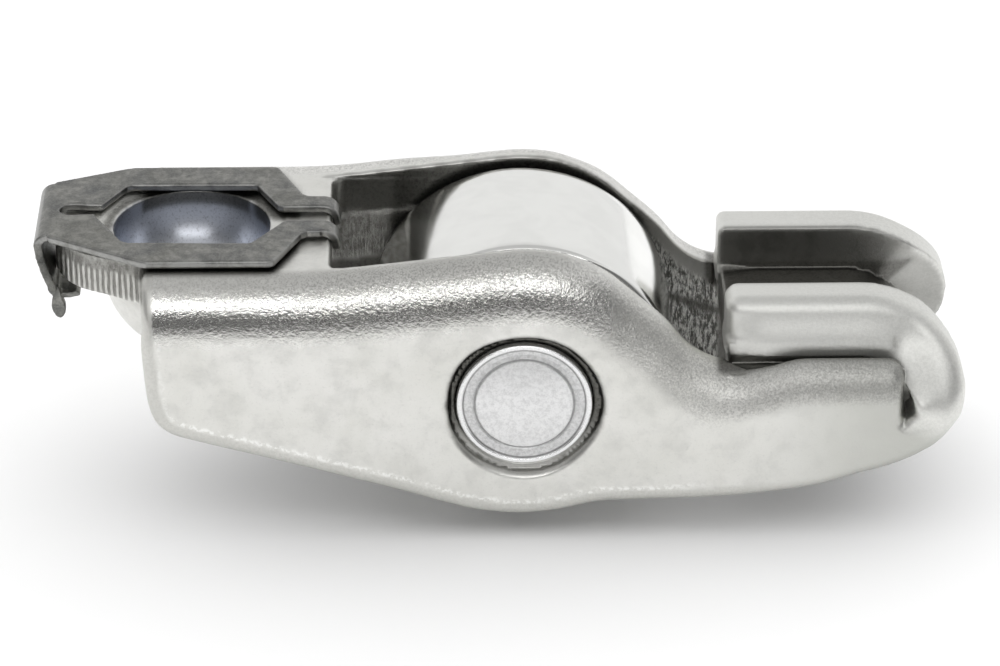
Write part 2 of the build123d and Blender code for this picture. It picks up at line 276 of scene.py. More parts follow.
# ------------------------------------------------------------------ meshing
def surface_net(fn, lo, hi, h, smooth=3):
    """Quad mesh on the zero set of fn: one vertex for each cell that the surface crosses, pulled onto the surface."""
    n = [int(math.ceil((hi[i] - lo[i]) / h)) + 1 for i in range(3)]
    ax = [lo[i] + h * np.arange(n[i]) for i in range(3)]
    F = fn(ax[0][:, None, None], ax[1][None, :, None], ax[2][None, None, :])
    F = np.broadcast_to(F, n).astype(np.float32)
    S = F < 0
    c = [S[:-1, :-1, :-1], S[1:, :-1, :-1], S[:-1, 1:, :-1], S[1:, 1:, :-1],
         S[:-1, :-1, 1:], S[1:, :-1, 1:], S[:-1, 1:, 1:], S[1:, 1:, 1:]]
    cnt = sum(a.astype(np.int8) for a in c)
    act = (cnt > 0) & (cnt < 8)
    idx = np.full(act.shape, -1, np.int64)
    cells = np.argwhere(act)
    idx[act] = np.arange(len(cells))
    acc = np.zeros((len(cells), 3))
    num = np.zeros(len(cells))
    off = [(0, 0, 0), (1, 0, 0), (0, 1, 0), (1, 1, 0), (0, 0, 1), (1, 0, 1), (0, 1, 1), (1, 1, 1)]
    for a in range(8):
        for b in range(a + 1, 8):
            oa, ob = np.array(off[a]), np.array(off[b])
            if np.abs(oa - ob).sum() != 1:
                continue
            pa, pb = cells + oa, cells + ob
            fa = F[pa[:, 0], pa[:, 1], pa[:, 2]]
            fb = F[pb[:, 0], pb[:, 1], pb[:, 2]]
            m = (fa < 0) != (fb < 0)
            t = np.where(m, fa / np.where(m, fa - fb, 1), 0)
            p = pa + t[:, None] * (pb - pa)
            acc[m] += p[m]
            num[m] += 1
    V = np.array(lo) + h * acc / num[:, None]
    quads = []
    for axis in range(3):
        d = [0, 0, 0]
        d[axis] = 1
        sl_a = [slice(1, -1)] * 3
        sl_b = [slice(1, -1)] * 3
        sl_a[axis] = slice(0, -1)
        sl_b[axis] = slice(1, None)
        A, B = S[tuple(sl_a)], S[tuple(sl_b)]
        e = np.argwhere(A != B)
        inside_a = A[e[:, 0], e[:, 1], e[:, 2]]
        base = e + 1
        base[:, axis] -= 1
        u, v = (axis + 1) % 3, (axis + 2) % 3
        q = []
        for du, dv in ((-1, -1), (0, -1), (0, 0), (-1, 0)):
            p = base.copy()
            p[:, u] += du
            p[:, v] += dv
            q.append(idx[p[:, 0], p[:, 1], p[:, 2]])
        q = np.stack(q, 1)
        q[~inside_a] = q[~inside_a][:, ::-1]
        quads.append(q)
    Q = np.vstack(quads)
    Q = Q[(Q >= 0).all(1)]

    def grad(P, e):
        g = np.empty_like(P)
        for i in range(3):
            D = np.zeros(3)
            D[i] = e
            a, b = P + D, P - D
            g[:, i] = fn(a[:, 0], a[:, 1], a[:, 2]) - fn(b[:, 0], b[:, 1], b[:, 2])
        return g / (2 * e)

    # relax along the surface, then settle on it
    E = np.vstack([Q[:, [0, 1]], Q[:, [1, 2]], Q[:, [2, 3]], Q[:, [3, 0]]])
    for it in range(smooth):
        s = np.zeros_like(V)
        k = np.zeros(len(V))
        np.add.at(s, E[:, 0], V[E[:, 1]])
        np.add.at(s, E[:, 1], V[E[:, 0]])
        np.add.at(k, E[:, 0], 1)
        np.add.at(k, E[:, 1], 1)
        W = V + 0.5 * (s / k[:, None] - V)
        f = fn(W[:, 0], W[:, 1], W[:, 2])
        g = grad(W, 0.01)
        gg = np.maximum((g * g).sum(1), 0.25)
        stepv = g * (f / gg)[:, None]
        ln = np.linalg.norm(stepv, axis=1, keepdims=True)
        stepv *= np.minimum(1, 0.6 * h / np.maximum(ln, 1e-9))
        V = W - stepv
    g = grad(V, 0.03)
    N = g / np.maximum(np.linalg.norm(g, axis=1, keepdims=True), 1e-9)
    return V, Q, N


def make_mesh(name, V, Q, N=None, attrs=None):
    me = bpy.data.meshes.new(name)
    V = home(V).astype(np.float32)
    k = Q.shape[1]
    me.vertices.add(len(V))
    me.vertices.foreach_set("co", V.ravel())
    me.loops.add(Q.size)
    me.loops.foreach_set("vertex_index", Q.ravel().astype(np.int32))
    me.polygons.add(len(Q))
    me.polygons.foreach_set("loop_start", (np.arange(len(Q)) * k).astype(np.int32))
    me.polygons.foreach_set("loop_total", np.full(len(Q), k, np.int32))
    me.polygons.foreach_set("use_smooth", np.ones(len(Q), bool))
    me.update(calc_edges=True)
    for key, val in (attrs or {}).items():
        a = me.attributes.new(key, "FLOAT", "POINT")
        a.data.foreach_set("value", np.asarray(val, np.float32))
    if N is not None:
        me.normals_split_custom_set_from_vertices([tuple(n) for n in N.tolist()])
    ob = bpy.data.objects.new(name, me)
    bpy.context.scene.collection.objects.link(ob)
    return ob


def lathe(name, prof, n=128):
    """Closed ring-shaped solid: profile of (radius, y) turned about the Y axis."""
    prof = np.asarray(prof, float)
    a = 2 * np.pi * np.arange(n) / n
    m = len(prof)
    V = np.empty((n, m, 3))
    V[:, :, 0] = prof[None, :, 0] * np.cos(a)[:, None]
    V[:, :, 1] = prof[None, :, 1]
    V[:, :, 2] = prof[None, :, 0] * np.sin(a)[:, None]
    V = V.reshape(-1, 3)
    i = np.arange(n)[:, None]
    j = np.arange(m)[None, :]
    i2, j2 = (i + 1) % n, (j + 1) % m
    Q = np.stack([i * m + j + 0 * j2, i2 * m + j, i2 * m + j2, i * m + j2 + 0 * i2], -1).reshape(-1, 4)
    return V, Q


def turned(name, prof, n=160):
    """Solid of revolution about Y. The profile starts and ends on the axis."""
    prof = np.asarray(prof, float)
    a = 2 * np.pi * np.arange(n) / n
    ring = prof[1:-1]
    m = len(ring)
    V = np.empty((n, m, 3))
    V[:, :, 0] = ring[None, :, 0] * np.cos(a)[:, None]
    V[:, :, 1] = ring[None, :, 1]
    V[:, :, 2] = ring[None, :, 0] * np.sin(a)[:, None]
    V = np.vstack([V.reshape(-1, 3), [0, prof[0, 1], 0], [0, prof[-1, 1], 0]])
    F = []
    for i in range(n):
        i2 = (i + 1) % n
        F.append((n * m, i2 * m, i * m))
        for j in range(m - 1):
            F.append((i * m + j, i2 * m + j, i2 * m + j + 1, i * m + j + 1))
        F.append((n * m + 1, i * m + m - 1, i2 * m + m - 1))
    return V, F


def mesh_from(name, V, F, smooth=True, angle=28):
    me = bpy.data.meshes.new(name)
    me.from_pydata([tuple(v) for v in home(V).tolist()], [], [tuple(int(i) for i in f) for f in F])
    me.update()
    # faces must look outwards
    import bmesh
    bm = bmesh.new()
    bm.from_mesh(me)
    bmesh.ops.recalc_face_normals(bm, faces=bm.faces)
    bm.to_mesh(me)
    bm.free()
    me.polygons.foreach_set("use_smooth", np.full(len(me.polygons), smooth, bool))
    if smooth:
        me.set_sharp_from_angle(angle=math.radians(angle))
    ob = bpy.data.objects.new(name, me)
    bpy.context.scene.collection.objects.link(ob)
    return ob


# ------------------------------------------------------------------ materials
class Nodes:
    """Short names for the shader nodes that the materials use."""

    def __init__(self, name):
        self.mat = bpy.data.materials.new(name)
        self.mat.use_nodes = True
        self.t = self.mat.node_tree
        self.t.nodes.clear()
        self.out = self.t.nodes.new("ShaderNodeOutputMaterial")
        self.bsdf = self.t.nodes.new("ShaderNodeBsdfPrincipled")
        self.t.links.new(self.bsdf.outputs[0], self.out.inputs[0])
        tc = self.t.nodes.new("ShaderNodeTexCoord")
        self.obj = tc.outputs["Object"]

    def put(self, sock, val):
        if isinstance(val, bpy.types.NodeSocket):
            self.t.links.new(val, sock)
        else:
            sock.default_value = val

    def mm(self, sx=1.0, sy=1.0, sz=1.0, rot=(0, 0, 0), vec=None):
        """Position in millimetres, stretched."""
        n = self.t.nodes.new("ShaderNodeMapping")
        self.put(n.inputs["Vector"], vec or self.obj)
        n.inputs["Rotation"].default_value = rot
        n.inputs["Scale"].default_value = (1000 * sx, 1000 * sy, 1000 * sz)
        return n.outputs[0]

    def noise(self, vec, scale, detail=3.0, rough=0.55, dist=0.0, lac=2.0):
        n = self.t.nodes.new("ShaderNodeTexNoise")
        self.put(n.inputs["Vector"], vec)
        n.inputs["Scale"].default_value = scale
        n.inputs["Detail"].default_value = detail
        n.inputs["Roughness"].default_value = rough
        n.inputs["Lacunarity"].default_value = lac
        n.inputs["Distortion"].default_value = dist
        return n.outputs["Fac"]

    def voronoi(self, vec, scale, feature="F1", rand=1.0):
        n = self.t.nodes.new("ShaderNodeTexVoronoi")
        n.feature = feature
        self.put(n.inputs["Vector"], vec)
        n.inputs["Scale"].default_value = scale
        n.inputs["Randomness"].default_value = rand
        return n.outputs["Distance"]

    def wave(self, vec, scale, dist=2.0, detail=2.0, dscale=1.0, kind="BANDS", axis="X", prof="SIN"):
        n = self.t.nodes.new("ShaderNodeTexWave")
        n.wave_type = kind
        if kind == "BANDS":
            n.bands_direction = axis
        else:
            n.rings_direction = axis
        n.wave_profile = prof
        self.put(n.inputs["Vector"], vec)
        n.inputs["Scale"].default_value = scale
        n.inputs["Distortion"].default_value = dist
        n.inputs["Detail"].default_value = detail
        n.inputs["Detail Scale"].default_value = dscale
        return n.outputs["Fac"]

    def math(self, op, a, b=0.0, c=None, clamp=False):
        n = self.t.nodes.new("ShaderNodeMath")
        n.operation = op
        n.use_clamp = clamp
        self.put(n.inputs[0], a)
        self.put(n.inputs[1], b)
        if c is not None:
            self.put(n.inputs[2], c)
        return n.outputs[0]

    def band(self, v, lo, hi, a=0.0, b=1.0):
        """Maps lo..hi on to a..b, held at the ends."""
        n = self.t.nodes.new("ShaderNodeMapRange")
        n.interpolation_type = "SMOOTHSTEP"
        self.put(n.inputs[0], v)
        for i, x in enumerate((lo, hi, a, b)):
            self.put(n.inputs[i + 1], x)
        return n.outputs[0]

    def mix(self, f, a, b):
        """Colours."""
        n = self.t.nodes.new("ShaderNodeMix")
        n.data_type = "RGBA"
        self.put(n.inputs[0], f)
        for s, v in ((n.inputs[6], a), (n.inputs[7], b)):
            self.put(s, v if isinstance(v, bpy.types.NodeSocket) else (*v, 1.0) if len(v) == 3 else v)
        return n.outputs[2]

    def lerp(self, f, a, b):
        n = self.t.nodes.new("ShaderNodeMix")
        n.data_type = "FLOAT"
        self.put(n.inputs[0], f)
        self.put(n.inputs[2], a)
        self.put(n.inputs[3], b)
        return n.outputs[0]

    def attr(self, name):
        n = self.t.nodes.new("ShaderNodeAttribute")
        n.attribute_name = name
        return n.outputs["Fac"]

    def xyz(self, vec=None):
        n = self.t.nodes.new("ShaderNodeSeparateXYZ")
        self.put(n.inputs[0], vec or self.obj)
        return n.outputs[0], n.outputs[1], n.outputs[2]

    def bump(self, h, dist_mm, strength=1.0, normal=None):
        n = self.t.nodes.new("ShaderNodeBump")
        self.put(n.inputs["Strength"], strength)
        n.inputs["Distance"].default_value = dist_mm * 0.001
        self.put(n.inputs["Height"], h)
        if normal is not None:
            self.put(n.inputs["Normal"], normal)
        return n.outputs[0]

    def finish(self, color, rough, metal=1.0, normal=None, **kw):
        b = self.bsdf.inputs
        self.put(b["Base Color"], color if isinstance(color, bpy.types.NodeSocket) else (*color, 1.0))
        self.put(b["Roughness"], rough)
        self.put(b["Metallic"], metal)
        if normal is not None:
            self.put(b["Normal"], normal)
        for k, v in kw.items():
            self.put(b[k], v)
        return self.mat


def grey(v, r=0.0, b=0.0):
    return (v + r, v, v + b)


def pressed_steel():
    n = Nodes("pressed steel")
    p = n.mm()
    x, y, z = n.xyz()
    cut, bend, inner, sock, dark = (n.attr(k) for k in ("cut", "bend", "inner", "socket", "dark"))
    cloud = n.noise(p, 0.16, 4, 0.6, 0.4)
    blot = n.noise(p, 0.75, 5, 0.65, 0.3)
    fine = n.noise(p, 5.5, 4, 0.7)
    grain = n.noise(p, 14.0, 2, 0.6)
    # flat sheet: satin, with cloudy heat-treatment tints; painted shade darkens it towards the valve end
    c = n.mix(n.band(cloud, 0.36, 0.66), (0.790, 0.785, 0.755), (0.730, 0.727, 0.690))
    c = n.mix(n.math("MULTIPLY", n.band(x, 0.030, 0.043), 0.9), c, (0.490, 0.495, 0.462))
    c = n.mix(n.math("MULTIPLY", n.band(blot, 0.44, 0.70), 0.36), c, (0.60, 0.60, 0.575))
    c = n.mix(n.math("MULTIPLY", n.band(fine, 0.52, 0.75), 0.28), c, (0.50, 0.50, 0.48))
    lug, torn, roll, rim, teeth = (n.attr(k) for k in ("lug", "torn", "roll", "rim", "teeth"))
    c = n.mix(n.math("MULTIPLY", lug, n.band(fine, 0.35, 0.65, 1.0, 0.72)), c, (0.80, 0.80, 0.77))
    # the stretched skin of the bend
    wide = n.band(x, -0.002, 0.012)
    late = n.band(x, 0.0200, 0.0290)
    slope = n.math("MULTIPLY", n.band(x, 0.0185, 0.0270), n.band(x, 0.0320, 0.0275))
    peel = n.noise(p, 4.2, 2, 0.55)
    pits = n.noise(p, 8.5, 3, 0.7)
    c = n.mix(n.math("MULTIPLY", bend, n.band(peel, 0.40, 0.62, 0.05, 0.35)), c, (0.55, 0.545, 0.525))
    c = n.mix(n.math("MULTIPLY", bend, n.math("MULTIPLY", n.band(pits, 0.46, 0.62), n.math("SUBTRACT", n.lerp(wide, 0.2, 0.55), n.math("MULTIPLY", slope, 0.35)))), c, (0.33, 0.325, 0.315))
    c = n.mix(n.math("MULTIPLY", bend, n.math("MULTIPLY", n.band(pits, 0.50, 0.36), n.math("ADD", n.lerp(late, 0.0, 0.4), n.math("MULTIPLY", slope, 0.6), None, True))), c, (0.86, 0.85, 0.82))
    c = n.mix(n.math("MULTIPLY", bend, n.band(x, 0.0295, 0.0345, 0.0, 0.40)), c, (0.36, 0.358, 0.34))
    # the rolled-over rim: painted shade on its rounding, and a painted highlight line along its inner edge
    c = n.mix(n.math("MULTIPLY", roll, n.band(fine, 0.40, 0.62, 0.55, 0.95)), c, (0.63, 0.628, 0.595))
    c = n.mix(n.math("MULTIPLY", rim, n.band(peel, 0.42, 0.60)), c, (0.98, 0.98, 0.96))
    # inside of the channel and between the lugs: painted shade, a dark brown-grey
    c = n.mix(n.math("MULTIPLY", inner, 0.92), c, n.mix(n.band(blot, 0.4, 0.65), (0.17, 0.165, 0.152), (0.10, 0.096, 0.085)))
    # sheared faces
    stri = n.noise(n.mm(1.0, 1.0, 0.10), 7.0, 3, 0.6)
    tear = n.noise(n.mm(1.0, 1.0, 0.55), 2.6, 5, 0.75, 0.2)
    c = n.mix(n.math("MULTIPLY", cut, n.band(tear, 0.35, 0.62, 0.65, 1.0)), c, (0.25, 0.245, 0.228))
    rough_cut = n.noise(n.mm(1.0, 1.0, 0.25), 5.6, 4, 0.75)
    c = n.mix(torn, c, n.mix(n.band(rough_cut, 0.42, 0.58), (0.17, 0.167, 0.155), (0.88, 0.875, 0.84)))
    c = n.mix(n.math("MULTIPLY", torn, n.band(tear, 0.50, 0.62, 0.0, 0.6)), c, (0.15, 0.147, 0.136))
    rib = n.wave(n.mm(), 0.94, 1.0, 2.0, 1.5)
    c = n.mix(n.math("MULTIPLY", teeth, 0.9), c, n.mix(n.band(rib, 0.35, 0.7), (0.34, 0.335, 0.315), (0.82, 0.815, 0.78)))
    spk = n.noise(p, 6.5, 4, 0.75)
    c = n.mix(n.math("MULTIPLY", sock, 0.9), c, n.mix(n.band(spk, 0.5, 0.68), (0.55, 0.575, 0.635), (0.33, 0.345, 0.39)))
    # painted shade from the dark attribute: the recess, the crevice and valley at the lugs, low on the window walls,
    # the far wall beside the roller, the ledge line and the web under the clip's edges; it also darkens the sheared
    # faces' upper band
    c = n.mix(dark, c, n.mix(n.band(fine, 0.45, 0.65), (0.13, 0.128, 0.117), (0.075, 0.073, 0.066)))
    rough = n.lerp(n.band(blot, 0.35, 0.7), 0.30, 0.40)
    rough = n.lerp(lug, rough, 0.46)
    rough = n.lerp(bend, rough, n.lerp(late, 0.125, 0.42))
    rough = n.lerp(roll, rough, 0.45)
    rough = n.lerp(inner, rough, 0.42)
    rough = n.lerp(cut, rough, n.lerp(n.band(tear, 0.4, 0.6), 0.33, 0.55))
    rough = n.lerp(torn, rough, 0.5)
    rough = n.lerp(sock, rough, 0.285)
    rough = n.lerp(n.math("MULTIPLY", dark, n.math("SUBTRACT", 1.0, cut)), rough, 0.30)
    nb = n.bump(grain, 0.010, n.lerp(sock, 0.5, 0.05))
    nb = n.bump(fine, 0.020, n.lerp(sock, 0.6, 0.04), nb)
    amp = n.math("MULTIPLY", bend, n.lerp(wide, 0.50, 1.0))
    nb = n.bump(pits, 0.026, n.math("MULTIPLY", amp, 0.6), nb)
    nb = n.bump(peel, 0.055, n.math("MULTIPLY", amp, 0.6), nb)
    h = n.math("ADD", n.math("MULTIPLY", stri, 0.5), n.math("MULTIPLY", tear, 0.9))
    nb = n.bump(h, 0.24, n.math("MULTIPLY", cut, 0.8), nb)
    nb = n.bump(rough_cut, 0.22, n.math("MULTIPLY", torn, 0.8), nb)
    nb = n.bump(rib, 0.16, n.math("MULTIPLY", teeth, 0.7), nb)
    return n.finish(c, rough, 1.0, nb)


def spring_steel():
    n = Nodes("dark spring steel")
    p = n.mm()
    x, y, z = n.xyz()
    cloud = n.noise(p, 0.22, 4, 0.6, 0.5)
    mott = n.noise(p, 0.8, 5, 0.65, 0.3)
    fine = n.noise(p, 9.0, 3, 0.65)
    scr = n.noise(n.mm(0.12, 1.6, 1.0, (0, 0, 0.35)), 5.0, 3, 0.6)
    c = n.mix(n.band(cloud, 0.35, 0.65), (0.160, 0.160, 0.143), (0.125, 0.128, 0.126))
    mid = n.noise(p, 2.6, 4, 0.7, 0.2)
    c = n.mix(n.band(mott, 0.34, 0.70, 0.0, 1.0), c, (0.33, 0.327, 0.305))
    c = n.mix(n.band(mid, 0.42, 0.62, 0.0, 0.40), c, (0.085, 0.086, 0.083))
    c = n.mix(n.band(fine, 0.48, 0.64, 0.0, 0.28), c, (0.33, 0.33, 0.315))
    # painted shade: the hanging flap is made darker than the plate
    flap = n.math("MULTIPLY", n.band(x, -0.0462, -0.0470), n.band(z, 0.0008, 0.0002))
    c = n.mix(flap, c, n.mix(n.band(mott, 0.40, 0.62), (0.055, 0.054, 0.050), (0.16, 0.155, 0.14)))
    c = n.mix(n.math("MULTIPLY", n.band(scr, 0.62, 0.72), 0.30), c, (0.32, 0.32, 0.31))
    # painted highlight along the plate's edges
    edge_highlight = n.attr("edge_highlight")
    c = n.mix(n.math("MULTIPLY", edge_highlight, n.band(mott, 0.35, 0.6, 0.35, 0.8)), c, (0.42, 0.42, 0.41))
    rough = n.lerp(n.band(mott, 0.35, 0.7), 0.34, 0.46)
    nb = n.bump(fine, 0.010, 0.6)
    nb = n.bump(mott, 0.04, 0.30, nb)
    return n.finish(c, rough, 1.0, nb)


def ground_steel():
    n = Nodes("ground roller steel")
    x, y, z = n.xyz()
    p = n.mm()
    cloud = n.noise(p, 0.35, 3, 0.6, 0.3)
    rad = n.math("POWER", n.math("ADD", n.math("POWER", n.math("SUBTRACT", x, 0.01945), 2.0),
                                 n.math("POWER", n.math("ADD", z, 0.0072), 2.0)), 0.5)
    # hoop-wise grinding marks on the running face, turning marks on the ends
    co = n.t.nodes.new("ShaderNodeCombineXYZ")
    n.put(co.inputs[0], n.math("MULTIPLY", rad, 1000.0))
    n.put(co.inputs[1], n.math("MULTIPLY", y, 1000.0))
    hoop = n.noise(co.outputs[0], 9.0, 4, 0.7)
    c = n.mix(n.band(cloud, 0.35, 0.65), (0.86, 0.862, 0.84), (0.82, 0.822, 0.80))
    c = n.mix(n.math("MULTIPLY", n.band(hoop, 0.5, 0.75), 0.16), c, grey(0.66))
    rough = n.lerp(n.band(cloud, 0.3, 0.7), 0.11, 0.15)
    nb = n.bump(hoop, 0.003, 0.35)
    return n.finish(c, rough, 1.0, nb)


def axle_steel():
    n = Nodes("axle steel")
    x, y, z = n.xyz()
    p = n.mm()
    rad = n.math("MULTIPLY", n.math("POWER", n.math("ADD", n.math("POWER", n.math("SUBTRACT", x, 0.01945), 2.0),
                                                    n.math("POWER", n.math("ADD", z, 0.0072), 2.0)), 0.5), 1000.0)
    ring = n.math("MULTIPLY", n.band(rad, 2.80, 2.90), n.band(rad, 3.66, 3.60))
    rim = n.band(rad, 3.60, 3.66)
    line = n.math("ADD", n.math("MULTIPLY", n.band(rad, 3.50, 3.55), n.band(rad, 3.64, 3.59)),
                  n.math("MULTIPLY", n.band(rad, 2.86, 2.90), n.band(rad, 3.00, 2.95)))
    matt = n.noise(p, 4.5, 5, 0.75)
    cloud = n.noise(p, 0.7, 4, 0.6, 0.6)
    c = n.mix(n.band(matt, 0.4, 0.65), grey(0.90), grey(0.76))
    c = n.mix(n.math("MULTIPLY", n.band(cloud, 0.45, 0.7), 0.15), c, grey(0.75))
    c = n.mix(n.math("MULTIPLY", ring, 0.6), c, n.mix(n.band(matt, 0.4, 0.6), grey(0.66), grey(0.50)))
    c = n.mix(n.math("MULTIPLY", rim, 0.9), c, grey(0.88))
    # painted shade: dark lines in the step walls of the punched rings
    c = n.mix(n.math("MULTIPLY", line, 0.75), c, grey(0.28))
    rough = n.lerp(n.band(matt, 0.35, 0.65), 0.36, 0.5)
    rough = n.lerp(rim, rough, 0.26)
    co = n.t.nodes.new("ShaderNodeCombineXYZ")
    n.put(co.inputs[0], rad)
    turn = n.noise(co.outputs[0], 9.0, 3, 0.6)
    nb = n.bump(matt, 0.035, 0.7)
    nb = n.bump(turn, 0.02, n.math("MULTIPLY", ring, 0.8), nb)
    return n.finish(c, rough, 1.0, nb)


def needle_steel():
    n = Nodes("needle steel")
    x, y, z = n.xyz()
    p = n.mm()
    cloud = n.noise(p, 0.9, 3, 0.6)
    co = n.t.nodes.new("ShaderNodeCombineXYZ")
    n.put(co.inputs[1], n.math("MULTIPLY", y, 1000.0))
    hoop = n.noise(co.outputs[0], 8.0, 4, 0.7)
    c = n.mix(n.band(cloud, 0.35, 0.65), grey(0.66), grey(0.58, 0.006, -0.006))
    c = n.mix(n.math("MULTIPLY", n.band(hoop, 0.5, 0.75), 0.2), c, grey(0.44))
    return n.finish(c, n.lerp(n.band(cloud, 0.3, 0.7), 0.14, 0.22), 1.0, n.bump(hoop, 0.004, 0.5))


# ------------------------------------------------------------------ build
H_BODY = 0.21
H_CLIP = 0.125

V, Q, N = surface_net(body_sdf, (-28.0, -8.8, -8.2), (26.6, 8.8, 10.2), H_BODY, 3)
ax, ay, az = V[:, 0], np.abs(V[:, 1]), V[:, 2]
ztop = np.interp(ax, CREST[:, 0], CREST[:, 1])
outer_side = HW - ay
# sheared faces: window rim and the blank's outer edge
face = (np.abs(N[:, 1]) > 0.6) & (ay < YI + 0.3) & (ay > YI - 0.35) & (ax > -11.4) & (ax < 12.1) & (az < ztop - 0.12)
cut = (face & (az < ztop - 2.6) & ((az > ztop - 5.6) | (ax > 7.8))).astype(float)
sheared = (face & (az >= ztop - 2.6)).astype(float) * step(9.0, 7.0, ax)
torn = (face & (ax > 7.4) & (az < ztop - 1.25)).astype(float)
# painted shade: a dark line along the ledge of the window's end face, in place of a modelled step
ledge = (face & (ax > 8.8) & (np.abs(az + 0.32 + 0.34 * (ax - 9.16)) < 0.24)).astype(float)
torn = torn * (1 - ledge)
# painted shade: the far wall's inner face is blackened beside the roller
behind = face * step(-8.7, -7.3, ax) * (ax < 7.4)
cut = cut * (1 - behind)
cut = np.maximum(cut, ((ax > -11.7) & (ax < -10.9) & (ay < 5.6) & (az < 7.85) & (az > 5.6)).astype(float))
lower = (np.abs(poly(BELLY, ax, az)) < 0.25) & (ay > YI + 0.25) & (ay < HW - 0.9) & (N[:, 2] < 0.3)
cut = np.maximum(cut, lower.astype(float))
tong = (ax < -22.4) & (np.hypot(ax + 19.45, ay) > 4.7) & (az > WEB - SH + 0.1) & (az < WEB - 0.1)
cut = np.maximum(cut, tong.astype(float))
bend = step(0.1, 0.8, ay - 5.9) * step(4.4, 2.8, ztop - az)
nr, nth = nose(ax, az)
lug = step(0.30, 0.08, lug_sdf(ax, ay, az, (V[:, 1] > 0).astype(float), nr, nth)) * (ax > 11.3) * step(118.0, 96.0, nth)
late = step(10.0, 12.5, ax)
bend = bend * (1 - late) + late * step(0.1, 0.8, ay - 5.9) * step(3.00, 2.55, ztop - az)
bend = bend * (1 - lug) * (ax < 22.3)
# painted shade on the channel's inner walls, and at the valve end on the floor between the lugs
inner = step(0.25, 0.0, ay - YI) * step(0.15, -0.3, az - (WEB - SH)) * (ax < 11.6) * (ax > -21.9)
inner = np.maximum(inner, 0.55 * ((ax >= 11.6) & (ay < 3.5)))
inner = inner * (1 - cut) * (1 - torn)
inner = inner * (1 - ((N[:, 0] < -0.6) & (ax > 11.4) & (ax < 12.3) & (ay < 5.6)))
q = np.sqrt((ax + 19.45) ** 2 + ay ** 2 + (az - 7.20) ** 2)
socket = ((q < 4.62) & (az < 8.05)).astype(float)
inner *= 1 - socket
# inner faces of the lugs and the pad between them, also in painted shade
lugs = (ax > 11.9) & (ay < 3.50 + 2.475 * step(30, 96, nth)) & (nr < 6.05 + 0.3 * step(30, 70, nth))
inner = np.maximum(inner, 0.92 * lugs * (0.50 + 0.50 * step(24.0, 20.5, ax)))
rr = np.hypot(ax, az)
# painted shade in the staked recess round the axle, heavier in its upper half
dark = step(4.86, 4.60, rr) * ((ay < HW - 0.10) & (ay > YI + 0.5)) * (0.50 + 0.50 * step(-3.2, -0.8, az))
dark = np.maximum(dark, np.maximum(0.78 * sheared, np.maximum(0.9 * ledge, 0.95 * behind)))
# painted shade in the crevice between the lugs and the shoulders
groove = (ax > 11.3) * (ay > 5.6) * step(7.3, 6.9, ay) * step(2.75, 2.35, az) * (az > 0.5) * (N[:, 2] > -0.5) * (1 - lug)
dark = np.maximum(dark, 0.9 * groove)
# painted shade in the valley between the lugs
valley = (ax > 12.2) * (ax < 24.0) * (ay < 3.7) * (az < 3.4) * (az > -3.0)
dark = np.maximum(dark, 0.75 * valley)
# painted shade low on the window's inner walls
deep = (ax > -10.9) * (ax < 8.5) * (ay < YI + 0.15) * (az < ztop - 5.8)
dark = np.maximum(dark, 0.9 * deep)
# painted shadow on the web along the clip's edges and inside its eye
plan = poly(np.array(CLIP_OUT), ax, V[:, 1])
eye = poly(np.array(CLIP_EYE), ax, V[:, 1])
clip_shadow = (az > 7.0) * step(0.42, 0.26, plan) * (ax > -22.6) * np.where(V[:, 1] > 0, step(-0.60, -0.45, eye), step(-0.12, 0.0, eye))
dark = np.maximum(dark, 0.9 * clip_shadow * (ax < -13.0))
side = (np.abs(poly(TONGUE, ax, V[:, 1])) < 0.3) & (ax < -22.3) & (np.abs(N[:, 2]) < 0.7)
teeth = (side & (az > WEB - SH - 0.1) & (az < WEB - 0.95)).astype(float)
# the rolled-over rim of the blank on the outside of the walls: roll marks its rounding for painted shade, rim marks the
# line for a painted highlight
roll = step(-0.75, -0.60, poly(BELLY, ax, az)) * (N[:, 1] ** 2 > 0.02) * (ay > YI + 0.6) * step(19.0, 12.0, ax)
rim = (0.35 + 0.5 * step(-20.9, -20.2, ax)) * step(-1.02, -0.92, poly(BELLY, ax, az)) * step(-0.70, -0.80, poly(BELLY, ax, az)) * step(12.0, 8.0, ax) * (ay > HW - 0.2) * (az < 4.5) * (ax < 20.0)



def soften(v, Q, times=2):
    E = np.vstack([Q[:, [0, 1]], Q[:, [1, 2]], Q[:, [2, 3]], Q[:, [3, 0]]])
    k = np.bincount(E[:, 0], minlength=len(v)) + np.bincount(E[:, 1], minlength=len(v))
    for _ in range(times):
        s = np.bincount(E[:, 0], v[E[:, 1]], len(v)) + np.bincount(E[:, 1], v[E[:, 0]], len(v))
        v = 0.5 * v + 0.5 * s / np.maximum(k, 1)
    return v


body = make_mesh("body_looks", V, Q, N, {"cut": soften(cut, Q), "bend": soften(bend, Q), "inner": soften(inner, Q),
                                         "socket": soften(socket, Q, 1), "dark": soften(dark, Q, 2),
                                         "teeth": soften(teeth, Q, 1), "torn": soften(torn, Q, 1),
                                         "lug": soften(lug, Q, 1), "roll": roll, "rim": rim})
body.data.materials.append(pressed_steel())
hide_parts("rocker_body")
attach(body, "arm")
print("body", len(V), "verts", len(Q) * 2, "triangles")

V, Q, N = surface_net(clip_sdf, (-29.1, -6.6, 2.0), (-9.9, 6.6, 9.0), H_CLIP, 2)
# the plate's side faces get a painted highlight
edge_highlight = ((np.abs(N[:, 2]) < 0.75) & (V[:, 2] > 8.0)).astype(float)
clip = make_mesh("clip_looks", V, Q, N, {"edge_highlight": soften(edge_highlight, Q, 1)})
clip.data.materials.append(spring_steel())
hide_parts("retaining_clip")
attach(clip, "arm")
print("clip", len(V), "verts", len(Q) * 2, "triangles")

